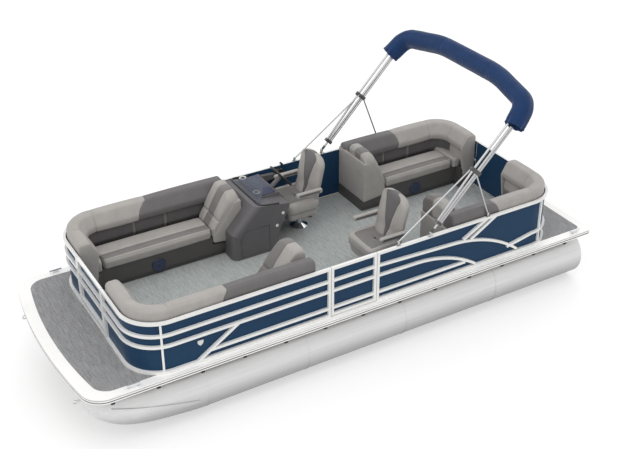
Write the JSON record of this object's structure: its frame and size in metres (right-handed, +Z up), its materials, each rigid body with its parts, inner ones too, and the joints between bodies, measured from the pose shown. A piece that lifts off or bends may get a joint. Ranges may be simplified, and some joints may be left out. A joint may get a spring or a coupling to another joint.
{
  "type": "pontoon boat",
  "caption": "Pontoon boat with twin tubes, fenced deck, gates, wrap-around lounges, helm console, swivel chairs and a folded sun top.",
  "frame": {"origin": "on the ground under the middle of the boat, which stands on the keels of its tubes", "axes": "+X towards the bow, +Y to port, +Z up"},
  "size_m": [6.8598, 2.7692, 3.0795],
  "materials": {
    "hull_aluminium": "brushed, lightly oxidised",
    "frame_aluminium": "mill finish",
    "deck_board": "sealed marine plywood",
    "trim_aluminium": "bright anodised, ridged",
    "floor_vinyl": "woven vinyl flooring",
    "mat_vinyl": "woven vinyl mat",
    "rail_white": "white powder coat, satin",
    "panel_navy": "navy paint, satin",
    "base_charcoal": "moulded, fine grain",
    "vinyl": "marine vinyl in light and dark greys",
    "speaker_navy": "perforated grille",
    "console_shell": "moulded gel coat",
    "screen_tint": "smoked acrylic",
    "helm_black": "soft-touch black",
    "pedestal_metal": "satin anodised",
    "sun_top_metal": "bright anodised tube",
    "boot_navy": "navy acrylic canvas",
    "cleat_chrome": "polished"
  },
  "bodies": {
    "boat": {"port_tube": "hull_aluminium", "starboard_tube": "hull_aluminium", "deck_frame": "frame_aluminium", "deck_panel": "deck_board", "rub_rail": "trim_aluminium", "cabin_floor": "floor_vinyl", "deck_mats": "mat_vinyl", "motor_pod": "frame_aluminium", "fence_port_bow": "rail_white", "fence_port_stern": "rail_white", "fence_starboard": "rail_white", "sheet_port_bow": "panel_navy", "sheet_port_stern": "panel_navy", "sheet_starboard": "panel_navy", "speakers": "speaker_navy", "console": "console_shell", "windscreen": "screen_tint", "throttle": "helm_black", "sun_top_mounts": "sun_top_metal", "cleats": "cleat_chrome", "lounge_bow_port_base": "base_charcoal", "lounge_bow_port_back": "vinyl", "lounge_bow_port_end": "vinyl", "lounge_bow_starboard_base": "base_charcoal", "lounge_bow_starboard_back": "vinyl", "lounge_bow_starboard_end": "vinyl", "lounge_stern_port_base": "base_charcoal", "lounge_stern_port_back": "vinyl", "lounge_stern_port_end": "vinyl", "lounge_stern_starboard_base": "base_charcoal", "lounge_stern_starboard_back": "vinyl", "lounge_stern_starboard_end": "vinyl", "helm_pedestal": "pedestal_metal", "mate_pedestal": "pedestal_metal"},
    "side_gate_leaf": {"side_gate": "rail_white", "side_gate_sheet": "panel_navy"},
    "bow_gate_leaf": {"bow_gate": "rail_white", "bow_gate_sheet": "panel_navy"},
    "stern_gate_leaf": {"stern_gate": "rail_white", "stern_gate_sheet": "panel_navy"},
    "seat_lid_bow_port": {"lounge_bow_port_seat": "vinyl"},
    "seat_lid_bow_starboard": {"lounge_bow_starboard_seat": "vinyl"},
    "seat_lid_stern_port": {"lounge_stern_port_seat": "vinyl"},
    "seat_lid_stern_starboard": {"lounge_stern_starboard_seat": "vinyl"},
    "helm_chair": {"helm_seat": "vinyl", "helm_backrest": "vinyl"},
    "helm_armrest_port": {"helm_arm_port": "vinyl"},
    "helm_armrest_starboard": {"helm_arm_starboard": "vinyl"},
    "mate_chair": {"mate_seat": "vinyl", "mate_backrest": "vinyl"},
    "mate_armrest_port": {"mate_arm_port": "vinyl"},
    "mate_armrest_starboard": {"mate_arm_starboard": "vinyl"},
    "helm_wheel": {"steering_wheel": "helm_black"},
    "locker_door": {"console_door": "console_shell"},
    "sun_top": {"sun_top_frame": "sun_top_metal", "sun_top_boot": "boot_navy"},
    "front_struts": {"sun_top_front_struts": "sun_top_metal"},
    "rear_struts": {"sun_top_rear_struts": "sun_top_metal"}
  },
  "joints": [
    {"name": "side_gate_hinge", "type": "hinge", "parent": "boat", "child": "side_gate_leaf", "pos_m": [0.445, 1.192, 1.16], "axis": [0, 0, 1], "range_deg": [0, 90]},
    {"name": "bow_gate_hinge", "type": "hinge", "parent": "boat", "child": "bow_gate_leaf", "pos_m": [2.743, -0.436, 1.16], "axis": [0, 0, 1], "range_deg": [0, 90]},
    {"name": "stern_gate_hinge", "type": "hinge", "parent": "boat", "child": "stern_gate_leaf", "pos_m": [-2.856, -0.436, 1.16], "axis": [0, 0, -1], "range_deg": [0, 90]},
    {"name": "seat_lid_bow_port_hinge", "type": "hinge", "parent": "boat", "child": "seat_lid_bow_port", "pos_m": [1.748, 0.905, 1.1778], "axis": [-1, 0, 0], "range_deg": [0, 75]},
    {"name": "seat_lid_bow_starboard_hinge", "type": "hinge", "parent": "boat", "child": "seat_lid_bow_starboard", "pos_m": [1.748, -0.905, 1.1778], "axis": [1, 0, 0], "range_deg": [0, 75]},
    {"name": "seat_lid_stern_port_hinge", "type": "hinge", "parent": "boat", "child": "seat_lid_stern_port", "pos_m": [-2.07, 0.905, 1.1778], "axis": [-1, 0, 0], "range_deg": [0, 75]},
    {"name": "seat_lid_stern_starboard_hinge", "type": "hinge", "parent": "boat", "child": "seat_lid_stern_starboard", "pos_m": [-2.015, -0.905, 1.1778], "axis": [1, 0, 0], "range_deg": [0, 75]},
    {"name": "helm_swivel", "type": "hinge", "parent": "boat", "child": "helm_chair", "pos_m": [-0.24, -0.72, 1.068], "axis": [0, 0, 1], "range_deg": [-20, 20]},
    {"name": "helm_armrest_port_flip", "type": "hinge", "parent": "helm_chair", "child": "helm_armrest_port", "pos_m": [-0.38109, -0.429, 1.441], "axis": [0, -1, 0], "range_deg": [0, 85]},
    {"name": "helm_armrest_starboard_flip", "type": "hinge", "parent": "helm_chair", "child": "helm_armrest_starboard", "pos_m": [-0.38109, -1.011, 1.441], "axis": [0, -1, 0], "range_deg": [0, 85]},
    {"name": "mate_swivel", "type": "hinge", "parent": "boat", "child": "mate_chair", "pos_m": [-0.555, 0.68, 1.068], "axis": [0, 0, 1], "continuous": true},
    {"name": "mate_armrest_port_flip", "type": "hinge", "parent": "mate_chair", "child": "mate_armrest_port", "pos_m": [-0.69609, 0.971, 1.441], "axis": [0, -1, 0], "range_deg": [0, 85]},
    {"name": "mate_armrest_starboard_flip", "type": "hinge", "parent": "mate_chair", "child": "mate_armrest_starboard", "pos_m": [-0.69609, 0.389, 1.441], "axis": [0, -1, 0], "range_deg": [0, 85]},
    {"name": "steering", "type": "hinge", "parent": "boat", "child": "helm_wheel", "pos_m": [-0.01, -0.75, 1.603], "axis": [-0.766, 0, 0.6428], "range_deg": [-540, 540]},
    {"name": "locker_door_hinge", "type": "hinge", "parent": "boat", "child": "locker_door", "pos_m": [0.7675, -0.333, 1.05], "axis": [0, 0, -1], "range_deg": [0, 100]},
    {"name": "sun_top_fold", "type": "hinge", "parent": "boat", "child": "sun_top", "pos_m": [-0.89, 1.236, 1.526], "axis": [0, -1, 0], "range_deg": [0, 36]},
    {"name": "front_strut_pivot", "type": "hinge", "parent": "sun_top", "child": "front_struts", "pos_m": [-1.45095, 1.206, 2.20764], "axis": [0, -1, 0], "range_deg": [-12.5, 0]},
    {"name": "rear_strut_pivot", "type": "hinge", "parent": "sun_top", "child": "rear_struts", "pos_m": [-1.51742, 1.206, 2.12677], "axis": [0, -1, 0], "range_deg": [-123, 0]}
  ],
  "couplings": [
    {"joint": "front_strut_pivot", "follows": "sun_top_fold", "ratio": -0.34},
    {"joint": "rear_strut_pivot", "follows": "sun_top_fold", "ratio": -3.4}
  ]
}
